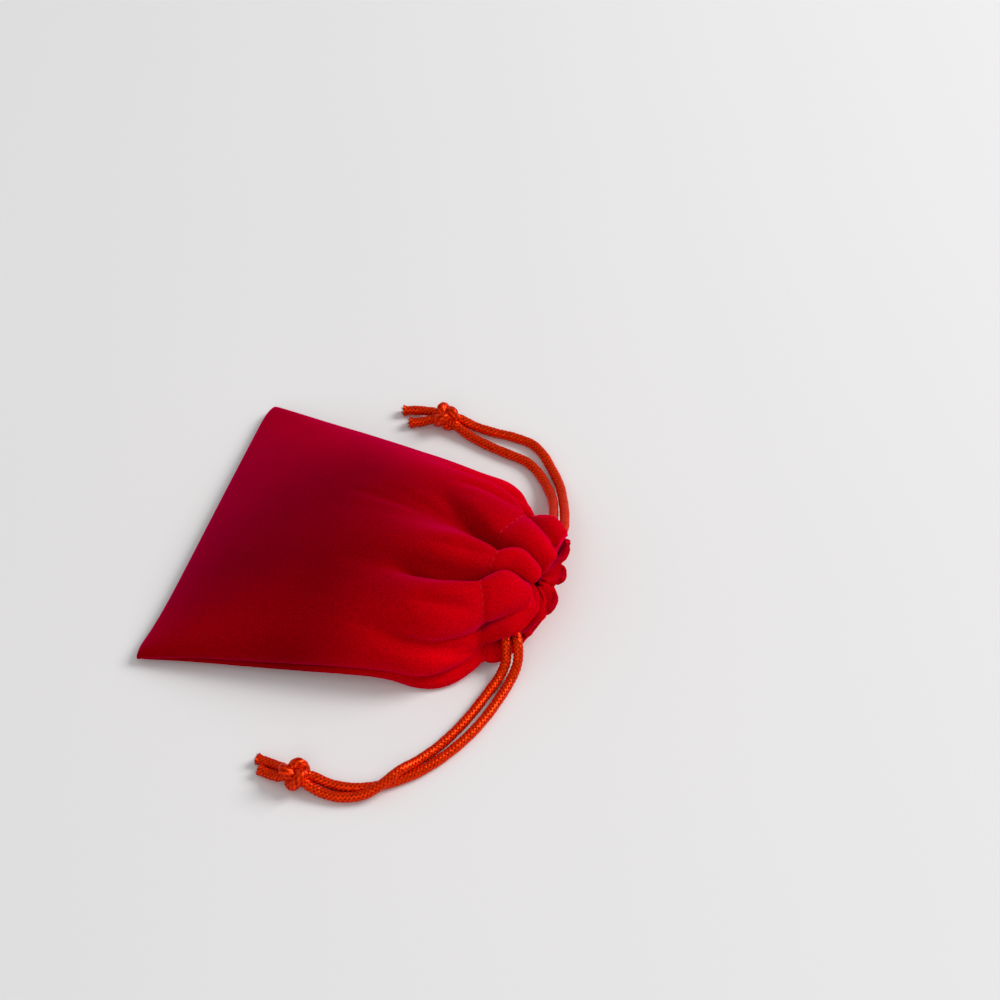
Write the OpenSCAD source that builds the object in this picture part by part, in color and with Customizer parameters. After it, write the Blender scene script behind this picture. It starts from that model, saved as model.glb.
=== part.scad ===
// Velvet drawstring gift pouch, drawn shut and lying on its back panel.
// Origin: bottom centre of the pouch without its drawstrings.
// +X runs from the bottom seam to the gathered mouth, +Y to the far side, +Z up.

/* [Pouch] */
// Length from the bottom seam to the stitch line under the casing
body_len = 88.4; // [80:0.2:92]
// Width across the bottom seam
bottom_w = 99; // [90:1:104]
// Height of the filled body above the table
body_h = 25.5; // [22:0.5:28]
// Thickness of the velvet with its pile
cloth_t = 1.2; // [0.8:0.1:1.4]

/* [Gathered casing] */
// Length of the casing from its stitch line to the mouth
casing_len = 17; // [16:0.5:18]
// How far the gathers stand out, as a share of the radius
gather_depth = 0.04; // [0:0.01:0.05]
// Gathers around the whole mouth
gathers = 14; // [10:1:18]

/* [Drawstrings] */
// Diameter of the satin cord
cord_d = 3; // [2.6:0.1:3]
// Length of each overhand knot
knot_len = 8; // [7.6:0.2:8.2]
// Diameter of each overhand knot
knot_d = 7.6; // [7:0.2:7.6]

/* [Stitching] */
// Diameter of the sewing thread
thread_d = 0.5; // [0.4:0.05:0.5]
// Stitches showing on each half of the casing
stitches = 18; // [12:1:22]

/* [Hidden] */

velvet = [0.66, 0.02, 0.06];
velvet_shade = [0.5, 0.01, 0.05];
satin = [0.86, 0.2, 0.05];
thread = [0.75, 0.05, 0.12];

// ---- The body: stations along X, each a share of body_len from the bottom seam ----
x_bottom = -53;
x_stitch = x_bottom + body_len;
seam_gap = 0.6;
stations = [0, 0.02, 0.06, 0.14, 0.25, 0.38, 0.51, 0.63, 0.74, 0.83, 0.89, 0.93, 0.96, 0.98, 1];
girth_steps = 24;

// Half width, as a share of half the bottom width
width_share = [[0, 1], [0.3, 0.904], [0.6, 0.806], [0.83, 0.726], [0.89, 0.68], [0.94, 0.59], [1, 0.445]];
// Crown above the seam and belly below it, as shares of body_h
crown_share = [[0, 0.012], [0.02, 0.08], [0.06, 0.18], [0.14, 0.3], [0.25, 0.42], [0.38, 0.53], [0.51, 0.61],
  [0.63, 0.66], [0.83, 0.69], [0.89, 0.66], [0.95, 0.53], [1, 0.39]];
belly_share = [[0, 0.012], [0.02, 0.06], [0.14, 0.1], [0.38, 0.16], [0.63, 0.24], [0.83, 0.32], [0.89, 0.35],
  [0.95, 0.4], [1, 0.39]];
// Height of the side seams above the table, as a share of body_h
seam_share = [[0, 0.06], [0.14, 0.1], [0.38, 0.16], [0.63, 0.24], [0.83, 0.32], [0.89, 0.35], [0.95, 0.41], [1, 0.45]];
// Sideways drift of the centre line towards the far side
drift = [[0, 0], [0.5, 0.5], [0.83, 1.2], [1, 4]];
// Roundness of the section: 1 is an ellipse, more pulls the sides in
crown_power = [[0, 1.4], [0.8, 1.3], [1, 1]];
// Flatness of the underside: 2 is an ellipse, more is flatter
belly_power = [[0, 5], [0.8, 4], [1, 2]];

function crown(s, a) = pow(max(0, cos(a)), lookup(s, crown_power));
function belly(s, a) =
  let (p = lookup(s, belly_power))
  min(1, 1.02 * pow(max(0, 1 - pow(abs(sin(a)), p)), 1 / p));

// A point of the shell at share s of the length and angle a across it, inset by d from the outside
function shell_point(s, a, d, up) =
  let (
    w = bottom_w / 2 * lookup(s, width_share) - d,
    h = body_h * lookup(s, up ? crown_share : belly_share) - seam_gap / 2,
    f = up ? crown(s, a) : belly(s, a),
    rise = seam_gap / 2 + max(0, h - d) * f
  )
  [
    x_bottom + max(s * body_len, d),
    lookup(s, drift) + w * sin(a),
    body_h * lookup(s, seam_share) + (up ? rise : -rise)
  ];

function shell_grid(d, up) = [
  for (s = stations) for (k = [0 : girth_steps]) shell_point(s, -90 + 180 * k / girth_steps, d, up)
];

// Faces of a sheet with a thickness: two grids of rows by cols points, joined along their edges
function quad(a, b, c, d) = [[a, b, c], [a, c, d]];
function slab_faces(rows, cols) =
  let (n = rows * cols)
  concat(
    [for (i = [0 : rows - 2]) for (k = [0 : cols - 2]) let (p = i * cols + k)
      each quad(p, p + 1, p + cols + 1, p + cols)],
    [for (i = [0 : rows - 2]) for (k = [0 : cols - 2]) let (p = n + i * cols + k)
      each quad(p, p + cols, p + cols + 1, p + 1)],
    [for (k = [0 : cols - 2]) each quad(k, n + k, n + k + 1, k + 1)],
    [for (k = [0 : cols - 2]) let (p = (rows - 1) * cols + k) each quad(p, p + 1, n + p + 1, n + p)],
    [for (i = [0 : rows - 2]) let (p = i * cols) each quad(p, p + cols, n + p + cols, n + p)],
    [for (i = [0 : rows - 2]) let (p = i * cols + cols - 1) each quad(p, n + p, n + p + cols, p + cols)]
  );
function flipped(faces) = [for (f = faces) [for (k = [len(f) - 1 : -1 : 0]) f[k]]];

module panel(up) {
  faces = slab_faces(len(stations), girth_steps + 1);
  polyhedron(
    points = concat(shell_grid(0, up), shell_grid(cloth_t, up)),
    faces = up ? faces : flipped(faces)
  );
}

// ---- Tubes swept along a route: cords and seam threads ----
function unit(v) = v / norm(v);
function heading(route, i) =
  unit(route[min(i + 1, len(route) - 1)] - route[max(i - 1, 0)]);
function ring(route, i, d, sides, ref) =
  let (t = heading(route, i), u = unit(cross(ref, t)), v = cross(t, u))
  [for (k = [0 : sides - 1]) route[i] + d / 2 * (cos(360 * k / sides) * u + sin(360 * k / sides) * v)];
function tube_faces(rings, sides) = concat(
  [for (i = [0 : rings - 2]) for (k = [0 : sides - 1])
    let (a = i * sides + k, b = i * sides + (k + 1) % sides)
    each quad(a, b, b + sides, a + sides)],
  [[for (k = [sides - 1 : -1 : 0]) k]],
  [[for (k = [0 : sides - 1]) (rings - 1) * sides + k]]
);
module tube(route, d, sides = 8, ref = [0, 0, 1]) {
  polyhedron(
    points = [for (i = [0 : len(route) - 1]) each ring(route, i, d, sides, ref)],
    faces = flipped(tube_faces(len(route), sides))
  );
}

// ---- Seams: thread between the two panels, just inside the edge ----
thread_inset = cloth_t / 2;
seam_thread_d = seam_gap - 0.04;
function seam_route(side) = [
  for (s = [for (i = [1 : len(stations) - 1]) stations[i]])
    [
      x_bottom + s * body_len,
      lookup(s, drift) + side * (bottom_w / 2 * lookup(s, width_share) - thread_inset),
      body_h * lookup(s, seam_share)
    ]
];
bottom_seam_y = bottom_w / 2 - 2.5;

// ---- The casing: the hem folded over at the mouth, gathered into an oval ring ----
x_casing = x_stitch + 0.6;
casing_centre = [0, 4, 11.5];
// Outer half width and half height along the casing, as shares of casing_len and in mm
casing_half_w = [[0, 22], [0.25, 21.3], [0.5, 20], [0.7, 17.5], [0.88, 13.5], [1, 8]];
casing_half_h = [[0, 10], [0.25, 10.8], [0.5, 11], [0.7, 10], [0.88, 7.6], [1, 4.6]];
// The inner layer, drawn up around what is left of the mouth
mouth_half_w = 3.6;
mouth_half_h = 2.5;
// Angles at which the front and back casings end, leaving the cord openings at the two sides
front_span = [18, 177];
back_span = [216, 342];
span_steps = 26;

// The casing's cross-section, once round: out along the outer layer, over the mouth, back along the inner
section_steps = [0, 0.2, 0.4, 0.6, 0.78, 0.92, 1];
function gather(a) = 1 + gather_depth * cos(gathers * a);
function outer_point(s, a, d) =
  let (
    w = (lookup(s, casing_half_w) - d) * gather(a),
    h = (lookup(s, casing_half_h) - d) * gather(a)
  )
  [x_casing + d + s * (casing_len - 2 * d), casing_centre[1] + w * cos(a), casing_centre[2] + h * sin(a)];
function inner_point(s, a, d) =
  [
    x_casing + d + s * (casing_len - 2 * d),
    casing_centre[1] + (mouth_half_w + (d - cloth_t)) * cos(a),
    casing_centre[2] + (mouth_half_h + (d - cloth_t)) * sin(a)
  ];
function casing_section(a, d) = concat(
  [for (s = section_steps) outer_point(s, a, d)],
  [for (i = [len(section_steps) - 1 : -1 : 0]) inner_point(section_steps[i], a, d)]
);
function casing_faces(rows, cols) =
  let (n = rows * cols)
  concat(
    [for (i = [0 : rows - 2]) for (k = [0 : cols - 1])
      let (a = i * cols + k, b = i * cols + (k + 1) % cols)
      each quad(a, b, b + cols, a + cols)],
    [for (i = [0 : rows - 2]) for (k = [0 : cols - 1])
      let (a = n + i * cols + k, b = n + i * cols + (k + 1) % cols)
      each quad(a, a + cols, b + cols, b)],
    [for (k = [0 : cols - 1]) let (b = (k + 1) % cols) each quad(k, n + k, n + b, b)],
    [for (k = [0 : cols - 1])
      let (a = (rows - 1) * cols + k, b = (rows - 1) * cols + (k + 1) % cols)
      each quad(a, b, n + b, n + a)]
  );
module casing(span) {
  angles = [for (i = [0 : span_steps]) span[0] + (span[1] - span[0]) * i / span_steps];
  polyhedron(
    points = concat(
      [for (a = angles) each casing_section(a, 0)],
      [for (a = angles) each casing_section(a, cloth_t)]
    ),
    faces = casing_faces(span_steps + 1, 2 * len(section_steps))
  );
}

// ---- Casing stitching: a row of dashes in the fold at the stitch line ----
stitch_share = 0.62;
module stitch_row(span) {
  x = (x_stitch + x_casing) / 2;
  half_w = casing_half_w[0][1] - thread_d;
  half_h = casing_half_h[0][1] - thread_d;
  pitch = (span[1] - span[0]) / stitches;
  for (i = [0 : stitches - 1]) {
    a = span[0] + pitch * (i + 0.5 - stitch_share / 2);
    b = a + pitch * stitch_share;
    p = casing_centre + [x, half_w * cos(a), half_h * sin(a)];
    q = casing_centre + [x, half_w * cos(b), half_h * sin(b)];
    tube([p, q], thread_d, 6, [1, 0, 0]);
  }
}

// ---- Drawstring routes, end to end on the real cord: strand a, the loop in the casing, strand b ----
near_loop_route = [
  [43.9, -9, 8.7], [42.8, -6, 9.8], [41.3, -4.6, 12], [40, -2.4, 15], [39.5, 2, 17.2], [39.5, 8, 16.8],
  [39.5, 12, 14.6], [39.5, 13.6, 11.5], [39.5, 12, 8.2], [39.5, 8, 5.8], [39.5, 2, 5.4], [39.8, -3, 5.8],
  [40.2, -6, 7.2], [40.8, -9, 8.7]
];
near_strand_a_route = [
  [43.9, -9, 8.7], [44.2, -12.5, 8.6], [46, -16, 7.6], [47.3, -20, 4.4], [46.9, -25, 2.2], [45.6, -32, 1.5],
  [44, -39, 1.5], [41.6, -46, 1.5], [38.2, -53, 1.5], [34, -59.5, 1.5], [29, -64.8, 1.5], [23, -69.2, 1.5],
  [17.5, -71.4, 1.5], [12, -72.2, 1.7], [6, -71.8, 2.6]
];
near_strand_b_route = [
  [40.8, -9, 8.7], [41.1, -12.5, 8.6], [42.8, -16.5, 7.4], [44.1, -20.5, 4.2], [43.6, -25, 2.2], [41.8, -32, 1.5],
  [40, -39, 1.5], [37.6, -46, 1.5], [34.4, -53, 1.6], [31, -59, 2.4], [28.2, -64, 4], [25.2, -69, 3.4],
  [21, -73, 1.9], [15.5, -75.2, 1.5], [10.5, -75.5, 1.7], [6, -74.9, 2.6]
];
near_knot_at = [2, -73.4, 3.8];
near_end_a_route = [[-2, -71.9, 2.8], [-6, -71, 1.8], [-9.8, -70.5, 1.5]];
near_end_b_route = [[-2, -75, 2.8], [-5, -74.3, 1.8], [-8, -73.6, 1.5]];

far_loop_route = [
  [45.8, 16, 11.5], [46.8, 13.2, 13], [47.6, 10, 15], [47.6, 5, 16.6], [47.6, 0, 16.2], [47.6, -4.2, 14.2],
  [47.6, -5.8, 11.4], [47.6, -4.2, 8.6], [47.6, 0, 6.7], [47.4, 5, 6.2], [46.2, 10, 7.6], [44.4, 13.2, 9.6],
  [42.7, 16, 11.5]
];
far_strand_a_route = [
  [45.8, 16, 11.5], [46.8, 20, 12], [46.9, 24, 11.2], [44.9, 31.5, 8], [42.3, 38.8, 4.6], [38.9, 46.4, 2.3],
  [34.6, 52.4, 1.5], [30.5, 57, 1.5], [26, 59.9, 1.5], [20, 60.8, 1.5], [14, 60.8, 1.5], [8, 61.2, 1.7],
  [3, 62, 2.6]
];
far_strand_b_route = [
  [42.7, 16, 11.5], [43.5, 20.5, 11.8], [43.3, 25, 10.8], [41.4, 32.2, 7.4], [38.8, 39.3, 4.2], [35.1, 45.4, 2.1],
  [31, 50, 1.5], [26.5, 52.8, 1.5], [20.5, 54, 1.5], [14.5, 55.2, 1.5], [8, 57, 1.7], [3, 58.8, 2.6]
];
far_knot_at = [-1, 60.4, 3.8];
far_end_a_route = [[-5, 62, 2.8], [-10, 62, 1.8], [-14.4, 60.8, 1.5]];
far_end_b_route = [[-5, 58.8, 2.8], [-8, 57.8, 1.8], [-11, 56.8, 1.5]];

// ---- Overhand knot tied in both strands: two snug wraps over a core ----
wrap_d = 0.45 * knot_d;
module knot(centre) {
  translate(centre)
    rotate([0, 90, 0]) {
      for (side = [-1, 1])
        translate([0, 0, side * (knot_len - wrap_d) / 2])
          rotate_extrude($fn = 32)
            translate([(knot_d - wrap_d) / 2, 0])
              circle(d = wrap_d, $fn = 24);
      cylinder(h = knot_len - 1, d = knot_d - wrap_d, center = true, $fn = 32);
    }
}

// ---- Nodes ----
module front_panel() { color(velvet) panel(true); }
module back_panel() { color(velvet_shade) panel(false); }
module near_side_seam() { color(thread) tube(seam_route(-1), seam_thread_d, 6); }
module far_side_seam() { color(thread) tube(seam_route(1), seam_thread_d, 6); }
module bottom_seam() {
  x = x_bottom + thread_inset;
  z = body_h * seam_share[0][1];
  color(thread) tube([[x, -bottom_seam_y, z], [x, bottom_seam_y, z]], seam_thread_d, 6);
}
module front_casing() { color(velvet) casing(front_span); }
module back_casing() { color(velvet_shade) casing(back_span); }
module front_casing_stitching() { color(thread) stitch_row(front_span); }
module back_casing_stitching() { color(thread) stitch_row(back_span); }
module near_casing_loop() { color(satin) tube(near_loop_route, cord_d, 8, [1, 0, 0]); }
module near_strand_a() { color(satin) tube(near_strand_a_route, cord_d); }
module near_strand_b() { color(satin) tube(near_strand_b_route, cord_d); }
module near_knot() { color(satin) knot(near_knot_at); }
module near_end_a() { color(satin) tube(near_end_a_route, cord_d); }
module near_end_b() { color(satin) tube(near_end_b_route, cord_d); }
module far_casing_loop() { color(satin) tube(far_loop_route, cord_d, 8, [1, 0, 0]); }
module far_strand_a() { color(satin) tube(far_strand_a_route, cord_d); }
module far_strand_b() { color(satin) tube(far_strand_b_route, cord_d); }
module far_knot() { color(satin) knot(far_knot_at); }
module far_end_a() { color(satin) tube(far_end_a_route, cord_d); }
module far_end_b() { color(satin) tube(far_end_b_route, cord_d); }

front_panel();
back_panel();
near_side_seam();
far_side_seam();
bottom_seam();
front_casing();
back_casing();
front_casing_stitching();
back_casing_stitching();
near_casing_loop();
near_strand_a();
near_strand_b();
near_knot();
near_end_a();
near_end_b();
far_casing_loop();
far_strand_a();
far_strand_b();
far_knot();
far_end_a();
far_end_b();
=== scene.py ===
import math

import bpy
import numpy as np
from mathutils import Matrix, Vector


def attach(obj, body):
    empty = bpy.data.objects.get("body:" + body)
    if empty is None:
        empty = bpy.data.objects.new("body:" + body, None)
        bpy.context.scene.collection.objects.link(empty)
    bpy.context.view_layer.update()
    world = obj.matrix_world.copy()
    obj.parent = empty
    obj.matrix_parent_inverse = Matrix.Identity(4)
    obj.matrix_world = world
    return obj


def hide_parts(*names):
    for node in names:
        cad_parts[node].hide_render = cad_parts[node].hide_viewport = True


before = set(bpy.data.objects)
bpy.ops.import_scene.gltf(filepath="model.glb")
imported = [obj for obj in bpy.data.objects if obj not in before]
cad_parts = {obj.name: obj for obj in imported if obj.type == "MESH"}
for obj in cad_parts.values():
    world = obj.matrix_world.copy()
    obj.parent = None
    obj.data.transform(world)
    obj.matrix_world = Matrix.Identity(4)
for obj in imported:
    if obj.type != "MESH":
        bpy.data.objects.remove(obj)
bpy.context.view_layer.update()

MM = 0.001


# ---------------------------------------------------------------- camera
CAMERA_PLACE = (0.1752, -0.4294, 0.5789)
CAMERA_AIM = (0.0235, 0.0375, 0.0)
CAMERA_LENS = 93.6


def add_object(name, data):
    obj = bpy.data.objects.new(name, data)
    bpy.context.scene.collection.objects.link(obj)
    return obj


def point_at(obj, place, aim):
    """Puts a camera or a light at a place, turned towards a point."""
    obj.location = place
    obj.rotation_euler = (Vector(aim) - Vector(place)).to_track_quat("-Z", "Y").to_euler()


def make_camera():
    """A three-quarter view from above the near side, like the photographed one."""
    data = bpy.data.cameras.new("camera")
    data.lens = CAMERA_LENS
    data.sensor_width = 36
    camera = add_object("camera", data)
    point_at(camera, CAMERA_PLACE, CAMERA_AIM)
    bpy.context.scene.camera = camera


make_camera()


# ---------------------------------------------------------------- lines and meshes, with their points in mm
def smoothstep(a, b, x):
    """Rises smoothly from 0 at a to 1 at b."""
    t = np.clip((np.asarray(x, float) - a) / (b - a), 0, 1)
    return t * t * (3 - 2 * t)


def spline_point(a, b, c, d, t):
    """The point at share t of the way from b to c, on a smooth line through all four."""
    square = 2 * a - 5 * b + 4 * c - d
    cube = 3 * b - a - 3 * c + d
    return 0.5 * (2 * b + (c - a) * t + square * t**2 + cube * t**3)


def smooth_line(points, steps):
    """A smooth line through the points, with this many steps between each two."""
    p = np.asarray(points, float)
    ext = np.vstack([2 * p[:1] - p[1:2], p, 2 * p[-1:] - p[-2:-1]])
    line = [spline_point(*ext[i : i + 4], t) for i in range(len(p) - 1) for t in np.arange(steps) / steps]
    return np.array([*line, p[-1]])


def distances(line):
    """How far along the line each of its points lies."""
    return np.concatenate([[0], np.cumsum(np.linalg.norm(np.diff(line, axis=0), axis=1))])


def read_at(where, run, points):
    """The points read off at other places, where `run` says at what place each point is."""
    return np.stack([np.interp(where, run, points[:, k]) for k in range(points.shape[1])], 1)


def resample(line, count):
    """The line again, as `count` points the same distance apart."""
    run = distances(line)
    return read_at(np.linspace(0, run[-1], count), run, line)


def at_shares(line, shares):
    """The line's points at these shares of its length."""
    run = distances(line)
    return read_at(shares * run[-1], run, line)


def grid_faces(rows, cols):
    """The quads of an open net of points."""
    return [
        (i * cols + k, i * cols + k + 1, (i + 1) * cols + k + 1, (i + 1) * cols + k)
        for i in range(rows - 1)
        for k in range(cols - 1)
    ]


def tube_faces(rows, cols):
    """The quads of a net whose rows each close on themselves."""
    return [
        (i * cols + k, i * cols + (k + 1) % cols, (i + 1) * cols + (k + 1) % cols, (i + 1) * cols + k)
        for i in range(rows - 1)
        for k in range(cols)
    ]


def joined(parts):
    """Several parts, each its points and its faces, as one list of points and one of faces."""
    points, faces, first = [], [], 0
    for part_points, part_faces in parts:
        points.append(part_points)
        faces += [tuple(first + i for i in face) for face in part_faces]
        first += len(part_points)
    return np.vstack(points), faces


def new_mesh(name, points, faces, material):
    mesh = bpy.data.meshes.new(name)
    mesh.from_pydata([tuple(p) for p in np.asarray(points) * MM], [], faces)
    mesh.update()
    mesh.materials.append(material)
    mesh.shade_smooth()
    return add_object(name, mesh)


def apply_modifiers(obj):
    """Turns the object's modifiers into its mesh."""
    bpy.context.view_layer.update()
    shape = obj.evaluated_get(bpy.context.evaluated_depsgraph_get())
    mesh = bpy.data.meshes.new_from_object(shape)
    obj.modifiers.clear()
    old = obj.data
    obj.data = mesh
    mesh.name = obj.name
    bpy.data.meshes.remove(old)


# ---------------------------------------------------------------- materials
class Nodes:
    """A material's node tree, with short calls to add nodes."""

    def __init__(self, name):
        self.mat = bpy.data.materials.new(name)
        self.mat.use_nodes = True
        self.tree = self.mat.node_tree
        self.shader = self.tree.nodes["Principled BSDF"]
        self.place = self.add("ShaderNodeTexCoord", {}).outputs["Object"]

    def add(self, kind, inputs, **settings):
        node = self.tree.nodes.new(kind)
        for key, value in settings.items():
            setattr(node, key, value)
        self.fill(node, inputs)
        return node

    def fill(self, node, inputs):
        """Gives each input a constant, or joins another node's output to it."""
        for key, value in inputs.items():
            if isinstance(value, bpy.types.NodeSocket):
                self.tree.links.new(value, node.inputs[key])
            else:
                node.inputs[key].default_value = value

    def noise(self, scale, detail, roughness=0.5):
        inputs = {"Vector": self.place, "Scale": scale, "Detail": detail, "Roughness": roughness}
        return self.add("ShaderNodeTexNoise", inputs).outputs["Fac"]

    def ramp(self, value, dark, light, start=0.0, end=1.0):
        """A colour that goes from dark to light as the value goes from start to end."""
        node = self.add("ShaderNodeValToRGB", {"Fac": value})
        first, last = node.color_ramp.elements
        first.position, first.color = start, (*dark, 1)
        last.position, last.color = end, (*light, 1)
        return node.outputs["Color"]

    def spread(self, value, start, end, low, high, kind="LINEAR"):
        """A number that goes from low to high as the value goes from start to end."""
        inputs = {"Value": value, "From Min": start, "From Max": end, "To Min": low, "To Max": high}
        return self.add("ShaderNodeMapRange", inputs, interpolation_type=kind).outputs["Result"]

    def math(self, operation, *values):
        return self.add("ShaderNodeMath", dict(enumerate(values)), operation=operation).outputs["Value"]

    def bump(self, height, strength, distance):
        inputs = {"Height": height, "Strength": strength, "Distance": distance}
        return self.add("ShaderNodeBump", inputs).outputs["Normal"]


def velvet_material():
    """Short pile: dark where it is seen face on, brighter and pinker where light grazes it, with painted
    light in its colour too.
    """
    n = Nodes("velvet")
    pile = n.noise(2600.0, 2.0, 0.6)
    colour = n.ramp(n.noise(22.0, 3.0), (0.17, 0.0, 0.001), (0.25, 0.0, 0.001), 0.32, 0.7)
    speck = n.spread(pile, 0.3, 0.7, 0.7, 1.3)
    # Painted light: the colour is made brighter towards the mouth, where the key light falls, and painted
    # sheen makes it brighter towards the two sides
    place = n.add("ShaderNodeSeparateXYZ", {"Vector": n.place}).outputs
    painted_light_to_mouth = n.spread(place["X"], -0.015, 0.048, 0.92, 2.5, "SMOOTHSTEP")
    painted_sheen_at_sides = n.spread(n.math("ABSOLUTE", place["Y"]), 0.016, 0.042, 1.0, 1.45, "SMOOTHSTEP")
    # The pile's random speckle, times the painted light and the painted sheen
    speck_and_painted_light = n.math("MULTIPLY", n.math("MULTIPLY", speck, painted_light_to_mouth), painted_sheen_at_sides)
    inputs = {"Factor": 1.0, "A": colour, "B": speck_and_painted_light}
    mix = n.add("ShaderNodeMix", inputs, data_type="RGBA", blend_type="MULTIPLY")
    n.fill(n.shader, {
        "Base Color": mix.outputs["Result"],
        "Normal": n.bump(pile, 0.4, 0.00012),
        "Roughness": 1.0,
        "Specular IOR Level": 0.0,
        "Sheen Weight": 1.0,
        "Sheen Roughness": 0.42,
        "Sheen Tint": (1.0, 0.0, 0.13, 1),
    })
    return n.mat


def cord_material():
    """Satin: filaments that catch the light in their own colour, with painted shade between the strands of
    the weave and painted highlights on the proud strands.
    """
    n = Nodes("satin_cord")
    filaments = n.noise(1500.0, 2.0)
    weave = n.add("ShaderNodeAttribute", {}, attribute_name="weave").outputs["Fac"]
    # Painted light: the colour is darker where the weave sinks in, as painted shade, and lighter on the proud
    # strands and filaments, as painted highlights
    height = n.math("MULTIPLY", n.math("ADD", filaments, weave), 0.6)
    n.fill(n.shader, {
        "Base Color": n.ramp(height, (0.24, 0.0, 0.0), (1.0, 0.04, 0.002), 0.38, 0.88),
        "Normal": n.bump(filaments, 0.5, 0.0001),
        "Metallic": 0.6,
        "Roughness": 0.26,
        "Specular IOR Level": 0.3,
        "Specular Tint": (1.0, 0.4, 0.1, 1),
    })
    return n.mat


def plain_material(name, scale, detail, dark, light, roughness, specular):
    """A dull material of one colour that varies a little."""
    n = Nodes(name)
    colour = n.ramp(n.noise(scale, detail), dark, light)
    n.fill(n.shader, {"Base Color": colour, "Roughness": roughness, "Specular IOR Level": specular})
    return n.mat


VELVET = velvet_material()
SATIN = cord_material()
THREAD = plain_material("thread", 1500.0, 1.0, (0.4, 0.0, 0.01), (0.7, 0.01, 0.03), 0.6, 0.1)
FLOOR = plain_material("floor", 3.0, 2.0, (0.80, 0.79, 0.785), (0.84, 0.83, 0.825), 0.8, 0.2)

# ---------------------------------------------------------------- drawstrings
# The routes are in mm. Strands and ends are as in part.scad. The two loops inside the casing are shorter than
# its loops, so that the gathered velvet hides them.
CORD_D = 3.0
ROUTES = {
    "near_strand_a": [
        [43.9, -9, 8.7], [44.2, -12.5, 8.6], [46, -16, 7.6], [47.3, -20, 4.4], [46.9, -25, 2.2],
        [45.6, -32, 1.5], [44, -39, 1.5], [41.6, -46, 1.5], [38.2, -53, 1.5], [34, -59.5, 1.5],
        [29, -64.8, 1.5], [23, -69.2, 1.5], [17.5, -71.4, 1.5], [12, -72.2, 1.7], [6, -71.8, 2.6],
    ],
    "near_strand_b": [
        [40.8, -9, 8.7], [41.1, -12.5, 8.6], [42.8, -16.5, 7.4], [44.1, -20.5, 4.2], [43.6, -25, 2.2],
        [41.8, -32, 1.5], [40, -39, 1.5], [37.6, -46, 1.5], [34.4, -53, 1.6], [31, -59, 2.4], [28.2, -64, 4],
        [25.2, -69, 3.4], [21, -73, 1.9], [15.5, -75.2, 1.5], [10.5, -75.5, 1.7], [6, -74.9, 2.6],
    ],
    "near_end_a": [[-2, -71.9, 2.8], [-6, -71, 1.8], [-9.8, -70.5, 1.5]],
    "near_end_b": [[-2, -75, 2.8], [-5, -74.3, 1.8], [-8, -73.6, 1.5]],
    "near_casing_loop": [
        [43.9, -9, 8.7], [42.8, -7, 9], [41.2, -5, 9.5], [40, -2, 10], [39.6, 1.5, 9.9], [39.5, 3, 9],
        [39.6, 1.5, 8.1], [39.8, -2, 7.8], [40.2, -5, 7.9], [40.8, -9, 8.7],
    ],
    "far_strand_a": [
        [45.8, 16, 11.5], [46.8, 20, 12], [46.9, 24, 11.2], [44.9, 31.5, 8], [42.3, 38.8, 4.6],
        [38.9, 46.4, 2.3], [34.6, 52.4, 1.5], [30.5, 57, 1.5], [26, 59.9, 1.5], [20, 60.8, 1.5],
        [14, 60.8, 1.5], [8, 61.2, 1.7], [3, 62, 2.6],
    ],
    "far_strand_b": [
        [42.7, 16, 11.5], [43.5, 20.5, 11.8], [43.3, 25, 10.8], [41.4, 32.2, 7.4], [38.8, 39.3, 4.2],
        [35.1, 45.4, 2.1], [31, 50, 1.5], [26.5, 52.8, 1.5], [20.5, 54, 1.5], [14.5, 55.2, 1.5], [8, 57, 1.7],
        [3, 58.8, 2.6],
    ],
    "far_end_a": [[-5, 62, 2.8], [-10, 62, 1.8], [-14.4, 60.8, 1.5]],
    "far_end_b": [[-5, 58.8, 2.8], [-8, 57.8, 1.8], [-11, 56.8, 1.5]],
    "far_casing_loop": [
        [45.8, 16, 11.5], [44.8, 13, 11], [43.8, 10, 10.4], [43.2, 7, 9.9], [43, 5.6, 9.3], [42.9, 7, 8.8],
        [42.7, 10, 8.9], [42.6, 13, 9.9], [42.7, 16, 11.5],
    ],
}
KNOT_CENTRE = {"near": [2, -73.4, 3.8], "far": [-1, 60.4, 3.8]}
KNOT_LENGTH = 8.0
KNOT_SCALE = {"near": (1.05, 1.0, 1.75), "far": (0.85, 1.0, 1.75)}
KNOT_TURN = {"near": 25, "far": -40}
KNOT_CORD_D = 3.4
ROUTE_STEPS = 12
CORD_SIDES = 32
CORD_STEP = 0.22
CORD_TURNS = 0.14
KNOT_TURNS = 0.1
STRANDS = 3
FRAYED_ROWS = 5
FIBRES = 26
FIBRE_SHADE = 0.4


def directions(line):
    """Headings along a line and two directions across it, carried along without twisting."""
    t = np.gradient(line, axis=0)
    t /= np.linalg.norm(t, axis=1)[:, None]
    u = np.cross((0, 0, 1), t[0])
    u = u / np.linalg.norm(u)
    us = []
    for heading in t:
        u = u - heading * np.dot(u, heading)
        u = u / np.linalg.norm(u)
        us.append(u)
    us = np.array(us)
    return t, us, np.cross(t, us)


def evenly(line):
    """The line again, in even steps of the length that a cord is drawn in."""
    return resample(line, max(8, int(distances(line)[-1] / CORD_STEP)))


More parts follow.
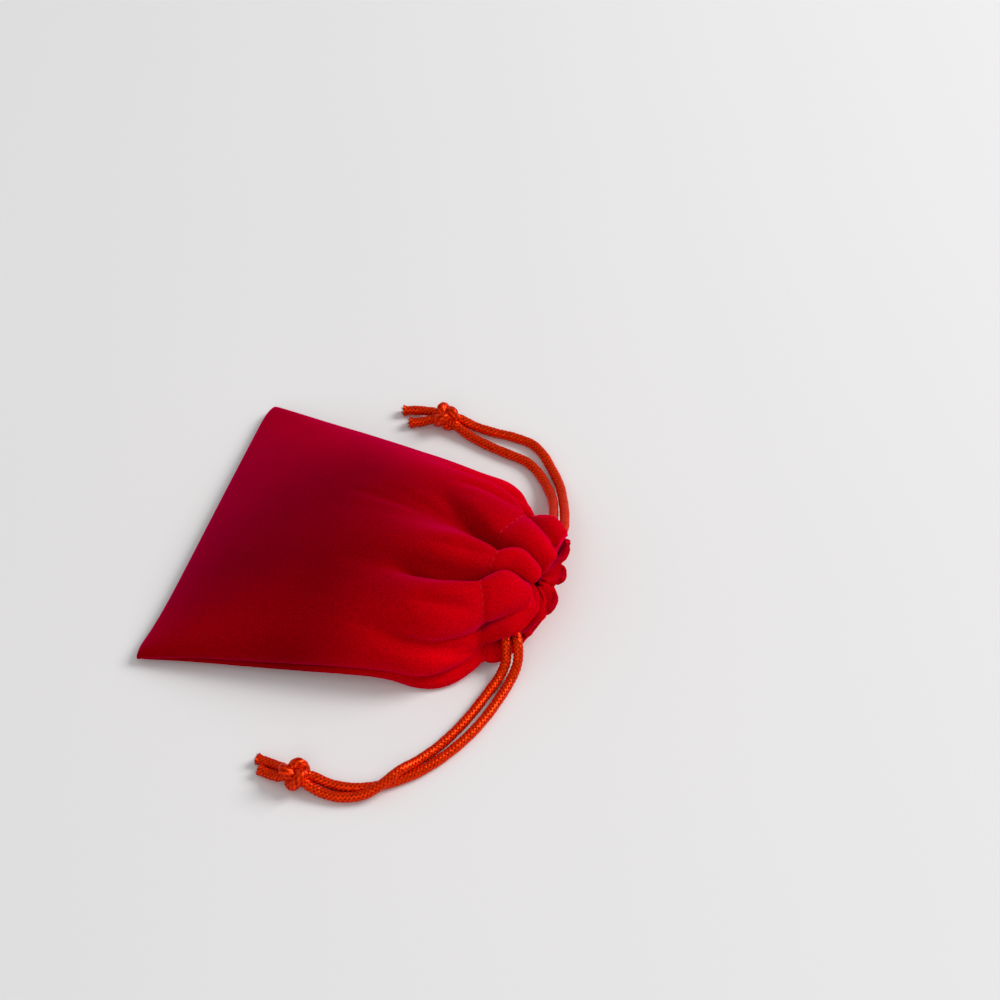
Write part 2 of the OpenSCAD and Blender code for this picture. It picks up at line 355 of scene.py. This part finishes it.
def braided_tube(line, diameter, turns=CORD_TURNS, seed=0.0, frayed=False):
    """A woven cord along an even line: a tube whose skin stands proud where the weave crosses it."""
    n = len(line)
    t, u, v = directions(line)
    run = distances(line)
    a = np.linspace(0, 2 * np.pi, CORD_SIDES, endpoint=False)
    rings, weave = [], []
    for k in range(n):
        lay = run[k] * 2 * np.pi * turns
        proud = 0.65 * np.abs(np.sin(STRANDS * (a + lay))) + 0.35 * np.abs(np.sin(STRANDS * (a - lay)))
        wobble = 0.02 * math.sin(run[k] * 0.9 + seed) + 0.015 * math.sin(run[k] * 2.3 + 2 * seed)
        r = diameter / 2 * (0.82 + 0.15 * proud + wobble)
        fray = k - n + FRAYED_ROWS
        if frayed and fray > 0:
            r = r * (1 + 0.16 * fray * (0.4 + 0.6 * np.abs(np.sin(STRANDS * a + seed))) / 2)
        weave.append(proud)
        rings.append(line[k] + (r * np.cos(a))[:, None] * u[k] + (r * np.sin(a))[:, None] * v[k])
    pts = np.vstack(rings + [line[:1], line[-1:]])
    start, end, last = n * CORD_SIDES, n * CORD_SIDES + 1, (n - 1) * CORD_SIDES
    faces = tube_faces(n, CORD_SIDES)
    faces += [(start, (k + 1) % CORD_SIDES, k) for k in range(CORD_SIDES)]
    faces += [(end, last + k, last + (k + 1) % CORD_SIDES) for k in range(CORD_SIDES)]
    if frayed:
        pts, faces = joined([(pts, faces), *fibres(line[-1], t[-1], u[-1], v[-1], diameter, seed)])
    pts[:, 2] = np.maximum(pts[:, 2], 0.03)
    weave = np.concatenate(weave)
    return pts, faces, np.concatenate([weave, np.full(len(pts) - len(weave), FIBRE_SHADE)])


def fibres(end, heading, u, v, diameter, seed):
    """Loose filaments at a cut end: thin three-sided spikes of uneven length."""
    draw = np.random.default_rng(int(seed * 10) + 3)
    faces = [(0, 1, 3), (1, 2, 3), (2, 0, 3), (0, 2, 1)]
    parts = []
    for _ in range(FIBRES):
        q, r = draw.uniform(0, 2 * np.pi), diameter / 2 * draw.uniform(0.3, 0.95)
        out = np.cos(q) * u + np.sin(q) * v
        root = end + r * out - 0.2 * heading
        tip = root + heading * draw.uniform(0.5, 1.5) + out * draw.uniform(0, 0.5)
        side = np.cross(heading, out) * 0.12
        parts.append((np.array([root + side, root - side, root + out * 0.16, tip]), faces))
    return parts


def satin_piece(name, points, faces, weave, body):
    """A piece of cord, whose `weave` says how proud the skin stands at each point, for the painted shade and
    highlights in its colour.
    """
    piece = new_mesh(name, points, faces, SATIN)
    piece.data.attributes.new("weave", "FLOAT", "POINT").data.foreach_set("value", weave)
    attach(piece, body)
    return piece


def cord_piece(name, body):
    line = evenly(smooth_line(ROUTES[name], ROUTE_STEPS))
    seed = len(name) * 0.7 + ord(name[-1])
    piece = satin_piece(name + "_cord", *braided_tube(line, CORD_D, seed=seed, frayed="_end_" in name), body)
    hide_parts(name)
    return piece, line


def knot_loops(side):
    """The knot's cord: a closed line that crosses itself three times, as a tightened overhand knot does."""
    q = np.linspace(0, 2 * np.pi, 150)
    line = np.column_stack([np.sin(q) + 2 * np.sin(2 * q), np.cos(q) - 2 * np.cos(2 * q), -np.sin(3 * q)])
    cos, sin = math.cos(math.radians(KNOT_TURN[side])), math.sin(math.radians(KNOT_TURN[side]))
    return line @ np.array([[cos, sin, 0], [-sin, cos, 0], [0, 0, 1]]) * KNOT_SCALE[side]


def knot_piece(side, body):
    """An overhand knot pulled tight, with the two cords that run into it and out as its tails."""
    centre = np.array(KNOT_CENTRE[side], float)
    tubes = [braided_tube(evenly(centre + knot_loops(side)), KNOT_CORD_D, KNOT_TURNS)]
    half = KNOT_LENGTH / 2
    for k, y in enumerate((-1.3, 1.3)):
        through = smooth_line([
            centre + [half + 0.4, y * 1.15, -1.2], centre + [1.6, y * 0.7, -0.3],
            centre + [-1.6, y * 0.7, -0.3], centre + [-half - 0.2, y * 1.15, -1.1],
        ], 8)
        tubes.append(braided_tube(evenly(through), CORD_D, seed=k + 3))
    points, faces = joined([tube[:2] for tube in tubes])
    weave = np.concatenate([tube[2] for tube in tubes])
    piece = satin_piece(side + "_overhand_knot", points, faces, weave, body)
    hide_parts(side + "_knot")
    return piece


def make_drawstring(side):
    body = side + "_drawstring"
    knot = knot_piece(side, body)
    ends = [cord_piece(f"{side}_end_{k}", body)[0] for k in "ab"]
    loop = cord_piece(f"{side}_casing_loop", body)[0]
    for k in "ab":
        piece, line = cord_piece(f"{side}_strand_{k}", body)


for side in ("near", "far"):
    make_drawstring(side)

# ---------------------------------------------------------------- the velvet's flat pattern and its gathers
FLAT_W = 100.0
BODY_L = 98.0
X_BOTTOM = -53.0
X_STITCH = 35.6
CLOTH_T = 1.1
HALF = 104
AROUND = 2 * HALF

# The gathered mouth as a run of soft lobes with valleys between them. Each line is one ridge or valley:
# how far along the width it lies (mm of 100), then where it is at the stitch line, at the middle of the
# casing and at the mouth edge. The front goes from the near side seam over the top to the far one.
FRONT_LOBES = [
    (0, (36.8, -15.2, 6.5), (42.0, -16.2, 8.6), (45.4, -15.4, 10.6)),
    (3, (37.8, -17.5, 5.5), (42.4, -16.6, 9.6), (46.4, -14.8, 11.0)),
    (5.5, (36.8, -18.6, 7.3), (42.4, -15.8, 11.0), (47.4, -13.2, 11.6)),
    (8, (35.3, -17.6, 9.6), (42.6, -13.8, 12.2), (48.4, -10.6, 12.2)),
    (12.5, (36.5, -12.5, 9.5), (43.0, -10.2, 12.6), (49.2, -6.8, 12.4)),
    (17, (36.7, -15.8, 12.0), (41.5, -11.8, 14.0), (46.4, -7.6, 13.4)),
    (20, (36.0, -16.2, 15.5), (41.3, -11.6, 17.0), (46.8, -6.6, 14.8)),
    (24, (35.0, -13.0, 19.0), (40.3, -8.0, 19.6), (46.4, -4.6, 16.0)),
    (29.5, (32.5, -8.2, 21.0), (38.0, -2.8, 20.6), (44.6, -1.8, 16.0)),
    (36.5, (33.5, -5.8, 13.5), (38.6, -0.6, 15.6), (43.5, 0.4, 13.8)),
    (44, (33.8, -3.0, 20.4), (40.0, 0.8, 19.0), (45.8, -0.8, 15.2)),
    (47.5, (34.2, -0.2, 22.0), (40.4, 4.0, 20.8), (47.2, 2.8, 16.6)),
    (51.5, (34.4, 2.8, 21.8), (39.4, 6.6, 19.8), (45.0, 6.2, 15.6)),
    (61, (33.0, 6.0, 14.0), (38.6, 8.0, 15.2), (43.5, 7.0, 13.8)),
    (68.5, (32.4, 9.0, 20.0), (38.6, 9.0, 18.6), (46.6, 6.8, 14.8)),
    (73, (34.0, 13.0, 20.6), (40.5, 12.0, 20.2), (48.4, 8.8, 16.0)),
    (77.5, (35.5, 17.0, 19.6), (41.6, 15.0, 19.2), (49.0, 11.2, 15.4)),
    (82.5, (37.0, 20.6, 17.0), (42.4, 17.2, 16.0), (47.8, 13.4, 13.6)),
    (86.5, (37.2, 18.8, 11.8), (42.2, 17.0, 14.2), (46.8, 14.2, 13.8)),
    (91, (37.8, 23.2, 14.0), (42.8, 20.2, 15.8), (48.2, 16.0, 15.4)),
    (94, (38.3, 25.0, 12.6), (43.2, 22.8, 16.0), (48.8, 18.6, 15.4)),
    (97, (38.4, 23.8, 10.6), (43.6, 24.0, 15.0), (49.0, 20.6, 14.4)),
    (100, (38.5, 20.8, 9.0), (43.8, 23.8, 13.6), (49.0, 20.8, 13.0)),
]
# The back goes from the far side seam underneath to the near one.
BACK_LOBES = [
    (0, (38.5, 20.8, 9.0), (43.5, 21.5, 9.2), (49.0, 19.0, 10.2)),
    (4, (38.0, 24.2, 7.0), (43.5, 21.8, 7.5), (49.6, 19.6, 11.4)),
    (8, (38.0, 22.8, 3.5), (44.0, 19.5, 5.0), (50.8, 16.8, 12.2)),
    (13, (37.5, 18.6, 1.8), (43.5, 15.8, 4.0), (50.6, 13.6, 11.6)),
    (20, (37.5, 15.5, 6.0), (43.0, 13.2, 6.0), (48.8, 12.4, 10.4)),
    (27, (37.0, 13.2, 1.5), (43.0, 11.5, 3.0), (51.0, 11.6, 10.8)),
    (31, (36.5, 10.0, 0.9), (43.5, 8.8, 2.2), (52.6, 8.8, 11.2)),
    (35, (36.5, 6.8, 1.3), (43.0, 6.0, 2.8), (51.2, 5.4, 10.6)),
    (42, (36.5, 4.2, 6.0), (43.0, 3.8, 6.0), (50.2, 4.3, 9.8)),
    (49, (36.0, 1.8, 1.2), (43.0, 2.0, 2.6), (50.6, 3.2, 9.6)),
    (53, (36.0, -1.4, 0.9), (43.5, -1.0, 2.2), (52.6, -0.4, 10.0)),
    (57, (36.0, -4.4, 1.3), (43.0, -4.0, 2.6), (52.2, -3.8, 9.2)),
    (64, (36.5, -6.5, 5.0), (42.5, -5.5, 4.6), (50.6, -5.2, 8.0)),
    (71, (36.5, -8.6, 1.5), (42.5, -8.0, 2.6), (50.9, -6.2, 8.2)),
    (75, (36.5, -11.5, 1.3), (43.0, -11.0, 2.6), (50.0, -8.6, 8.4)),
    (79, (37.0, -14.2, 2.2), (42.5, -13.5, 3.2), (48.4, -11.0, 7.0)),
    (84, (37.3, -14.5, 4.6), (42.0, -13.8, 4.6), (46.8, -12.0, 5.4)),
    (89, (38.0, -19.0, 1.8), (41.8, -18.6, 1.6), (45.0, -15.8, 2.6)),
    (93, (38.3, -22.4, 3.6), (41.8, -20.6, 3.6), (45.2, -17.0, 4.0)),
    (97, (37.8, -19.2, 5.4), (41.5, -18.0, 5.2), (45.0, -15.2, 5.0)),
    (100, (36.8, -15.2, 6.5), (41.5, -15.2, 5.6), (46.0, -13.0, 5.6)),
]


def across(count):
    """Where the columns lie over the width (share of 1), closer together towards the two seams."""
    u = np.linspace(0, 1, count + 1)
    return u - 0.55 * np.sin(2 * np.pi * u) / (2 * np.pi)


SHARES = across(HALF)


def lobe_line(lobes, station):
    """One half of the gathered section at a station (1 stitch line, 2 casing, 3 mouth), at the columns."""
    steps = 12
    line = smooth_line([lobe[station] for lobe in lobes], steps)
    place = np.interp(np.arange(len(line)) / steps, np.arange(len(lobes)), [lobe[0] / 100 for lobe in lobes])
    return read_at(SHARES, place, line)


def table(rows, blur=0.035):
    """A smooth curve through the rows: straight runs between them with their corners rounded off."""
    x, y = zip(*rows)
    grid = np.linspace(-0.2, 1.2, 1401)
    curve = np.where(grid < 0, 2 * y[0] - np.interp(-grid, x, y), np.interp(grid, x, y))
    slope = (y[-1] - np.interp(0.95, x, y)) / 0.05
    curve = np.where(grid > 1, y[-1] + (grid - 1) * slope, curve)
    kernel = np.hanning(int(blur * 2000) | 1)
    smooth = np.convolve(curve, kernel / kernel.sum(), mode="same")
    return lambda s: np.interp(s, grid, smooth)


# The filled body at share s of its length: its half width, how high its crown and how deep its belly lie
# from the side seams, and how high the seams are
half_w = table([(0, 49.2), (0.3, 44.7), (0.6, 39.9), (0.83, 36.6), (0.89, 34.8), (0.94, 31), (1, 23)])
crown = table([
    (0, 0), (0.02, 1.2), (0.06, 3.2), (0.14, 6.6), (0.25, 10.2), (0.38, 13.8), (0.51, 15.6), (0.63, 16.8),
    (0.83, 18.4), (0.89, 17.6), (0.95, 14.5), (1, 10.4),
])
belly = table([
    (0, 0), (0.02, 1.2), (0.14, 2.2), (0.38, 3.2), (0.63, 4.4), (0.83, 5.8), (0.89, 7), (0.95, 9), (1, 10.4),
])
seam_z = table([
    (0, 1.9), (0.14, 2.5), (0.38, 3.4), (0.63, 4.6), (0.83, 6), (0.89, 7.2), (0.95, 9.4), (1, 11.5),
])
drift = table([(0, 0), (0.5, 0.5), (0.83, 1.2), (1, 4)])


def body_section(s):
    """The smooth section of the filled pouch: its front half and its back half, at the columns."""
    q = np.linspace(-np.pi / 2, np.pi / 2, 240)
    power = np.interp(s, [0, 0.8, 1], [1.08, 1.05, 0.95])
    flat = 1.9
    y = drift(s) + half_w(s) * np.sin(q)
    top = seam_z(s) + crown(s) * np.cos(q) ** power
    bottom = seam_z(s) - belly(s) * np.clip(1 - np.abs(np.sin(q)) ** flat, 0, 1) ** (1 / flat)
    front = at_shares(np.stack([y, top], 1), SHARES)
    back = at_shares(np.stack([y, bottom], 1)[::-1], SHARES)
    return front, back


ROW_V = np.concatenate([[0, 0.35, 0.8, 1.4, 2.2, 3.2, 4.5], np.linspace(6, BODY_L, 62)])


def ring(front, back):
    """Two halves joined into one closed row: the seams are columns 0 and HALF."""
    return np.vstack([front[:-1], back[:-1]])


STITCH = ring(lobe_line(FRONT_LOBES, 1), lobe_line(BACK_LOBES, 1))


def body_start():
    """The filled pouch's first shape: smooth at the bottom, and gathered at the stitch line."""
    end = ring(*body_section(1.0))
    side = np.r_[2 * SHARES[:-1] - 1, 1 - 2 * SHARES[:-1]]
    corner = 1.9 * np.abs(side) ** 24 - 2.6 * np.clip(-side, 0, 1) ** 5
    rows = []
    for v in ROW_V:
        s = v / BODY_L
        by_bottom = (1 - s) ** 12
        gathered = (float(smoothstep(0.6, 1.0, s)) ** (0.95 + 0.4 * side**2))[:, None]
        yz = ring(*body_section(s))
        yz = yz + gathered * (STITCH[:, 1:] - end)
        yz[:, 1] = np.maximum(yz[:, 1], 0.3)
        yz[:, 0] += side * 0.8 * by_bottom
        x = X_BOTTOM + corner * by_bottom + (X_STITCH - X_BOTTOM) * s
        x = x + float(smoothstep(0.7, 1.0, s)) * (STITCH[:, 0] - X_STITCH)
        rows.append(np.column_stack([x, yz]))
    return np.array(rows)


def body_flat():
    """The same net as the cloth lies before it is filled: two flat layers joined at their edges."""
    y = np.r_[SHARES[:-1] - 0.5, 0.5 - SHARES[:-1]] * FLAT_W
    lift = np.r_[np.full(HALF, 0.4), np.full(HALF, -0.4)]
    lift[0] = lift[HALF] = 0
    return np.array([np.column_stack([np.full(AROUND, v), y, lift]) for v in ROW_V])


SIM_SCALE = 0.02  # mm to simulation units
SIM_FRAMES = 30
FRONT_CAP = 3.0
BACK_CAP = 0.18


def cloth_object(start, flat):
    """The pouch as a cloth object: held at both ends, and remembering its flat pattern's lengths."""
    rows, cols = start.shape[:2]
    quads = [tuple(reversed(q)) for q in tube_faces(rows, cols)]
    mesh = bpy.data.meshes.new("cloth")
    mesh.from_pydata([tuple(p) for p in start.reshape(-1, 3) * SIM_SCALE], [], quads)
    obj = add_object("cloth", mesh)
    obj.shape_key_add(name="filled")
    key = obj.shape_key_add(name="flat")
    key.data.foreach_set("co", (flat.reshape(-1, 3) * SIM_SCALE).ravel())
    pins = obj.vertex_groups.new(name="pins")
    bottom, neck, top = (list(range(row * cols, (row + 1) * cols)) for row in (0, rows - 2, rows - 1))
    pins.add(bottom + top, 1.0, "REPLACE")
    pins.add(neck, 0.7, "REPLACE")
    set_cloth(obj, key)
    return obj


def set_cloth(obj, key):
    cloth = obj.modifiers.new("Cloth", "CLOTH")
    s = cloth.settings
    s.quality = 6
    s.mass = 0.25
    s.air_damping = 2.0
    s.tension_stiffness = s.compression_stiffness = 12
    s.shear_stiffness = 4
    s.bending_stiffness = 1.2
    s.tension_damping = s.compression_damping = s.shear_damping = 8
    s.bending_damping = 1.0
    s.rest_shape_key = key
    s.vertex_group_mass = "pins"
    s.pin_stiffness = 20
    s.use_pressure = True
    s.uniform_pressure_force = 3.0
    s.effector_weights.gravity = 0.0
    cloth.collision_settings.use_collision = True
    cloth.collision_settings.distance_min = 0.01
    cloth.collision_settings.use_self_collision = False
    cloth.point_cache.frame_start = 1
    cloth.point_cache.frame_end = SIM_FRAMES


def square(name, half):
    """A flat square at floor height."""
    corners = [(-half, -half, 0), (half, -half, 0), (half, half, 0), (-half, half, 0)]
    mesh = bpy.data.meshes.new(name)
    mesh.from_pydata(corners, [], [(0, 1, 2, 3)])
    return add_object(name, mesh)


def cloth_ground():
    ground = square("cloth_floor", 4)
    ground.modifiers.new("Collision", "COLLISION")
    ground.collision.thickness_outer = 0.02
    return ground


def settle(start, flat):
    """Blender's cloth: the filled pouch relaxes from its first shape towards its flat pattern's lengths."""
    cloth, ground = cloth_object(start, flat), cloth_ground()
    scene = bpy.context.scene
    for f in range(1, SIM_FRAMES + 1):
        scene.frame_set(f)
    shape = cloth.evaluated_get(bpy.context.evaluated_depsgraph_get())
    co = np.zeros(start.size, np.float32)
    shape.data.vertices.foreach_get("co", co)
    for obj in (cloth, ground):
        mesh = obj.data
        bpy.data.objects.remove(obj)
        bpy.data.meshes.remove(mesh)
    scene.frame_set(1)
    moved = co.reshape(start.shape).astype(float) / SIM_SCALE - start
    far = np.maximum(np.linalg.norm(moved, axis=2, keepdims=True), 1e-9)
    cap = np.where(np.arange(AROUND) <= HALF, FRONT_CAP, BACK_CAP)[None, :, None]
    return start + moved / far * cap * np.tanh(far / cap)


def dents(net):
    """Where the two big folds run out into the body the cloth sinks in, as the photo shows."""
    v, share = ROW_V[:, None], SHARES[None, :]
    # The far fold turns outwards on its way down, and the near one goes straight
    far_fold = 0.61 + 0.08 * np.clip((BODY_L - v) / 22, 0, 1.5)
    depth = 2.8 * np.exp(-(((v - 81) / 9) ** 2) - ((share - far_fold) / 0.036) ** 2)
    depth += 2.4 * np.exp(-(((v - 76) / 9) ** 2) - ((share - 0.365) / 0.036) ** 2)
    net = net.copy()
    net[:, : HALF + 1, 2] -= depth
    return net


start, flat = dents(body_start()), body_flat()
body = settle(start, flat)
body[:, :, 2] = np.maximum(body[:, :, 2], 0.02)

# ---------------------------------------------------------------- the casing
MOUTH_MIDDLE = np.array([44.0, 4.0, 10.5])
HEM_STEPS = (9, 11, 3, 4, 4)
SEAM_ROUNDING = {"front": 2.6, "back": 7.0}


def casing_half(lobes):
    """Rows of one panel's hem: from the stitch line over the channel to the mouth edge, and back inside."""
    stitch, channel, mouth = (lobe_line(lobes, station) for station in (1, 2, 3))
    inward = MOUTH_MIDDLE - mouth
    inward[:, 0] = 0
    reach = np.linalg.norm(inward, axis=1)[:, None]
    inward = inward / np.maximum(reach, 1e-6)
    turned = mouth - [0.4, 0, 0] + inward * np.minimum(1.7, 0.4 * reach)
    inner = mouth - [1.8, 0, 0] + inward * 0.62 * reach
    deep = mouth - [4.5, 0, 0] + inward * 0.85 * reach
    before, after = 2 * stitch - channel, 2 * deep - inner
    ext = [before, stitch, channel, mouth, turned, inner, deep, after]
    rows = [spline_point(*ext[i : i + 4], t) for i, n in enumerate(HEM_STEPS) for t in np.arange(n) / n]
    # The first row is the body's last one, so it is left out
    return soften(np.array([*rows[1:], deep]), 3)


def soften(rows, times):
    """Rounds the corners of the folds, leaving the first row where the stitches hold it."""
    for _ in range(times):
        mean = rows.copy()
        mean[1:-1, 1:-1] = (rows[:-2, 1:-1] + rows[2:, 1:-1] + rows[1:-1, :-2] + rows[1:-1, 2:]) / 4
        rows = rows + 0.6 * (mean - rows)
    return rows


def grid_normals(net):
    """Outward direction at each point of an open net whose rows go along and whose columns go around."""
    along = np.gradient(net, axis=0)
    round_ = np.gradient(net, axis=1)
    out = np.cross(along, round_)
    return out / np.maximum(np.linalg.norm(out, axis=2, keepdims=True), 1e-9)


def velvet_net(body, side):
    """All of one panel: body rows then casing rows, rounded at its seams and grooved at its stitches."""
    cols = list(range(0, HALF + 1)) if side == "front" else list(range(HALF, AROUND)) + [0]
    hem = casing_half(FRONT_LOBES if side == "front" else BACK_LOBES)
    net = np.concatenate([body[:, cols], hem])
    out = grid_normals(net)
    from_side = np.minimum(SHARES, 1 - SHARES) * FLAT_W
    v = np.concatenate([ROW_V, np.full(len(hem), BODY_L)])
    from_edge = np.minimum(from_side[None, :], v[:, None])
    plump = CLOTH_T * np.sqrt(1 - np.clip(1 - from_edge / SEAM_ROUNDING[side], 0, 1) ** 2)
    from_stitch = np.arange(len(net)) - (len(ROW_V) - 1)
    plump = plump * (1 - smoothstep(-10, 2, from_stitch))[:, None]
    groove = 0.35 * smoothstep(0, 3, from_stitch) - 0.5 * np.exp(-(from_stitch**2))
    groove = groove * (1 - smoothstep(10, 18, from_stitch))
    net = net + out * (plump + groove[:, None])[..., None]
    net[:, :, 2] = np.maximum(net[:, :, 2], 0.05)
    return net, out


def velvet_piece(side):
    net, out = velvet_net(body, side)
    rows, cols = net.shape[:2]
    faces = [tuple(reversed(q)) for q in grid_faces(rows, cols)]
    piece = new_mesh(side + "_velvet", net.reshape(-1, 3), faces, VELVET)
    sub = piece.modifiers.new("Subdivision", "SUBSURF")
    sub.levels = sub.render_levels = 1
    thick = piece.modifiers.new("Solidify", "SOLIDIFY")
    thick.thickness = 0.8 * MM
    thick.offset = -1
    apply_modifiers(piece)
    piece.data.shade_smooth()
    return piece, net, out


front, front_net, front_out = velvet_piece("front")
back, back_net, back_out = velvet_piece("back")
for piece, nodes in ((front, ("front_panel", "front_casing")), (back, ("back_panel", "back_casing"))):
    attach(piece, "pouch")
    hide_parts(*nodes)


# ---------------------------------------------------------------- stitching and seams
THREAD_SIDES = 6
THREAD_SHAPE = np.array([0.3, 0.8, 1, 1, 1, 0.8, 0.3])


def stitches(name, nodes, line, out, pitch, dash, d, sink):
    """A run of short thread dashes along a line on the cloth, each dipping into it at its ends."""
    run = distances(line)
    rings = len(THREAD_SHAPE)
    along = np.linspace(-1, 1, rings)
    a = np.linspace(0, 2 * np.pi, THREAD_SIDES, endpoint=False)
    start, end = range(THREAD_SIDES), range((rings - 1) * THREAD_SIDES, rings * THREAD_SIDES)
    faces = tube_faces(rings, THREAD_SIDES) + [tuple(reversed(start)), tuple(end)]
    dashes = []
    for i in range(int(run[-1] / pitch)):
        where = (i + 0.5) * pitch + along * dash / 2
        lift = (1 - along**4) * d * 0.5 - sink
        middle = read_at(where, run, line) + read_at(where, run, out) * lift[:, None]
        _, u, w = directions(middle)
        across_it = np.cos(a)[None, :, None] * u[:, None] + np.sin(a)[None, :, None] * w[:, None]
        skin = middle[:, None] + (d / 2 * THREAD_SHAPE)[:, None, None] * across_it
        dashes.append((skin.reshape(-1, 3), faces))
    piece = new_mesh(name, *joined(dashes), THREAD)
    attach(piece, "pouch")
    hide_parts(nodes)


LAST = len(ROW_V) - 1
SEAM_DEPTH = 1.1
for side, net, out in (("front", front_net, front_out), ("back", back_net, back_out)):
    stitches(side + "_hem_stitches", side + "_casing_stitching", net[LAST], out[LAST], 2.3, 1.5, 0.3, 0.02)
# The seams are sewn inside out, so their thread sits just inside the turned edge
for name, node, line in (
    ("near_seam_stitches", "near_side_seam", front_net[2 : LAST + 1, 0] + [0, SEAM_DEPTH, 0]),
    ("far_seam_stitches", "far_side_seam", front_net[2 : LAST + 1, -1] - [0, SEAM_DEPTH, 0]),
    ("bottom_seam_stitches", "bottom_seam", front_net[0, 2:-2] + [SEAM_DEPTH, 0, 0]),
):
    stitches(name, node, line, np.zeros_like(line), 1.6, 1.3, 0.35, 0.0)


# ---------------------------------------------------------------- stage and lights
def make_stage():
    floor = square("floor", 2)
    floor.data.materials.append(FLOOR)


def area_light(name, place, aim, size, watts):
    data = bpy.data.lights.new(name, "AREA")
    data.shape = "SQUARE"
    data.size = size
    data.energy = watts
    point_at(add_object(name, data), place, aim)


def make_light():
    area_light("key", (1.25, 1.05, 1.2), (0.05, 0, 0), 0.95, 31.0)
    area_light("fill", (0.2, -1.2, 1.0), (0, 0, 0), 0.9, 3.5)
    world = bpy.data.worlds.new("world")
    world.use_nodes = True
    background = world.node_tree.nodes["Background"]
    background.inputs["Color"].default_value = (0.9, 0.9, 0.92, 1)
    background.inputs["Strength"].default_value = 0.49
    bpy.context.scene.world = world


make_stage()
make_light()
bpy.context.scene.view_settings.view_transform = "Standard"
